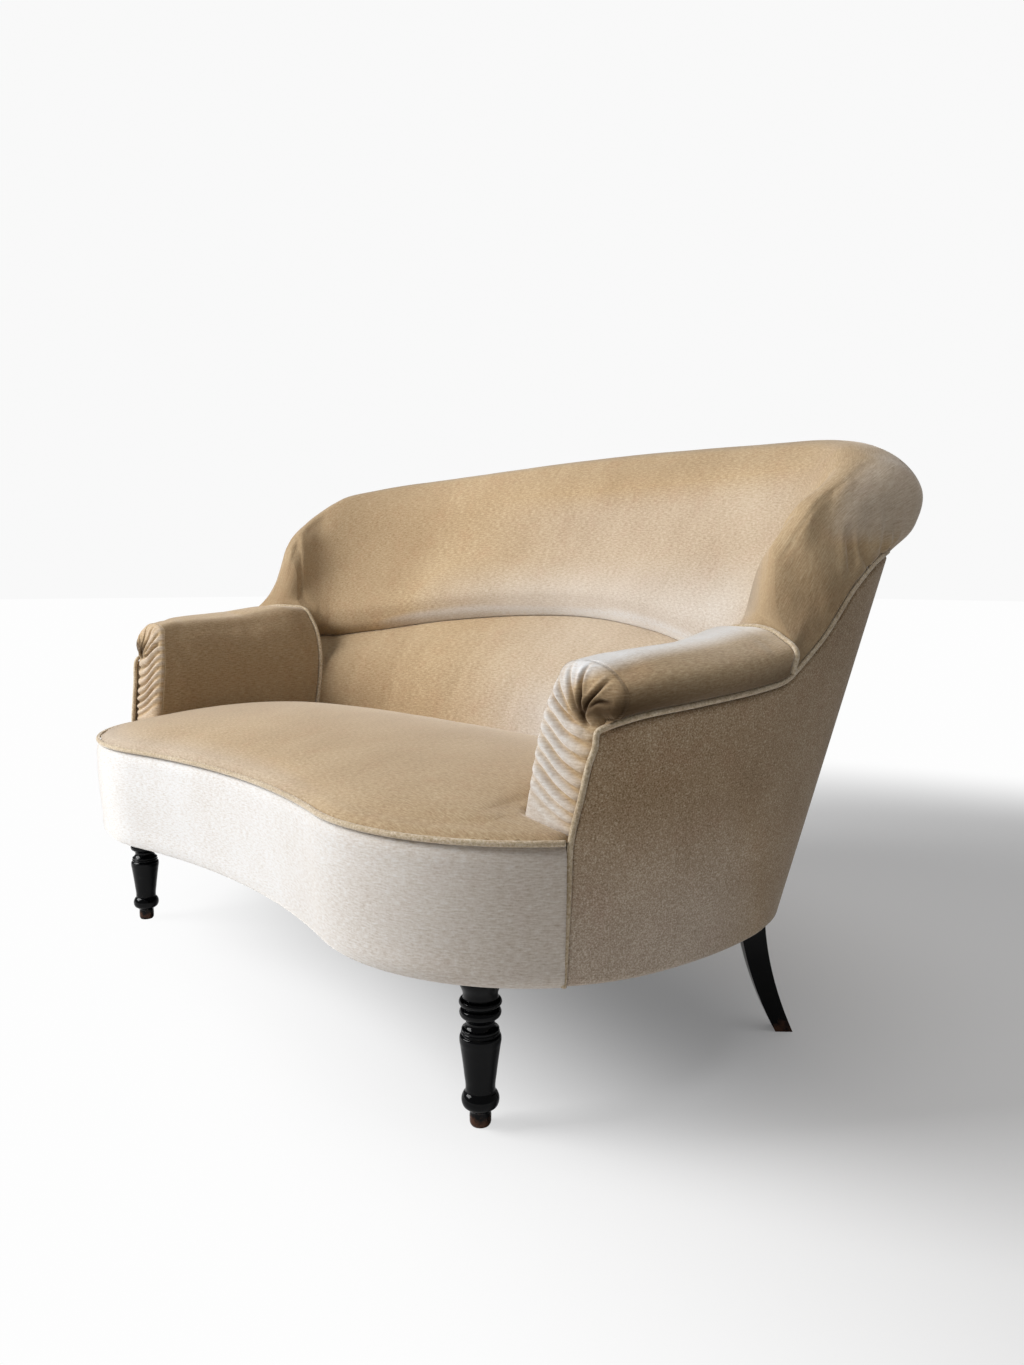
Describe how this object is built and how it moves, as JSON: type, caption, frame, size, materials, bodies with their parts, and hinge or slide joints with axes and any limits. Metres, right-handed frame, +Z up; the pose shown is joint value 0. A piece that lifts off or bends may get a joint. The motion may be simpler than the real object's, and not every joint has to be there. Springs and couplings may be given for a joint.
{
  "type": "two-seater sofa",
  "caption": "Low tub sofa with a wrap-around rolled back, low scroll arms, serpentine front and turned front legs.",
  "frame": {"origin": "on the floor, under the middle of the outer box", "axes": "+X towards the sofa's own left arm as seen from behind, which is the right one seen from the front; +Y to the back; +Z up"},
  "size_m": [1.4118, 0.8767, 0.86],
  "materials": {
    "gold_velvet": "short cut-pile velvet, beige gold",
    "piping_velvet": "the same velvet over cord, worn lighter",
    "ebonised_wood": "black stain under shellac, worn brown at the feet",
    "beech": "plain sawn beech, hidden",
    "jute_webbing": "woven jute",
    "spring_steel": "coppered spring wire",
    "hessian": "coarse hessian",
    "horsehair": "curled hair stuffing under calico",
    "dust_cloth": "black cotton"
  },
  "bodies": {
    "root": {"front_border": "gold_velvet", "seat_cover": "gold_velvet", "arm_pad_right": "gold_velvet", "arm_pad_left": "gold_velvet", "arm_facing_right": "gold_velvet", "arm_facing_left": "gold_velvet", "back_upper_pad": "gold_velvet", "back_lumbar_pad": "gold_velvet", "outside_arm_right": "gold_velvet", "outside_arm_left": "gold_velvet", "outside_back": "gold_velvet", "seat_piping": "piping_velvet", "outside_welt_right": "piping_velvet", "outside_welt_left": "piping_velvet", "arm_back_welt_right": "piping_velvet", "arm_back_welt_left": "piping_velvet", "front_leg_right": "ebonised_wood", "front_leg_left": "ebonised_wood", "back_leg_right": "ebonised_wood", "back_leg_left": "ebonised_wood", "front_rail": "beech", "side_rail_right": "beech", "side_rail_left": "beech", "back_rail": "beech", "seat_cross_rail": "beech", "arm_post_right": "beech", "arm_post_left": "beech", "arm_rail_right": "beech", "arm_rail_left": "beech", "wing_board_right": "beech", "wing_board_left": "beech", "crest_rail": "beech", "back_slat_1": "beech", "back_slat_2": "beech", "back_slat_3": "beech", "back_slat_4": "beech", "back_slat_5": "beech", "back_slat_6": "beech", "back_slat_7": "beech", "webbing_cross": "jute_webbing", "webbing_long": "jute_webbing", "back_webbing": "jute_webbing", "seat_springs": "spring_steel", "spring_hessian": "hessian", "seat_stuffing": "horsehair", "seat_edge_roll": "horsehair", "bottom_cloth": "dust_cloth"}
  },
  "joints": []
}
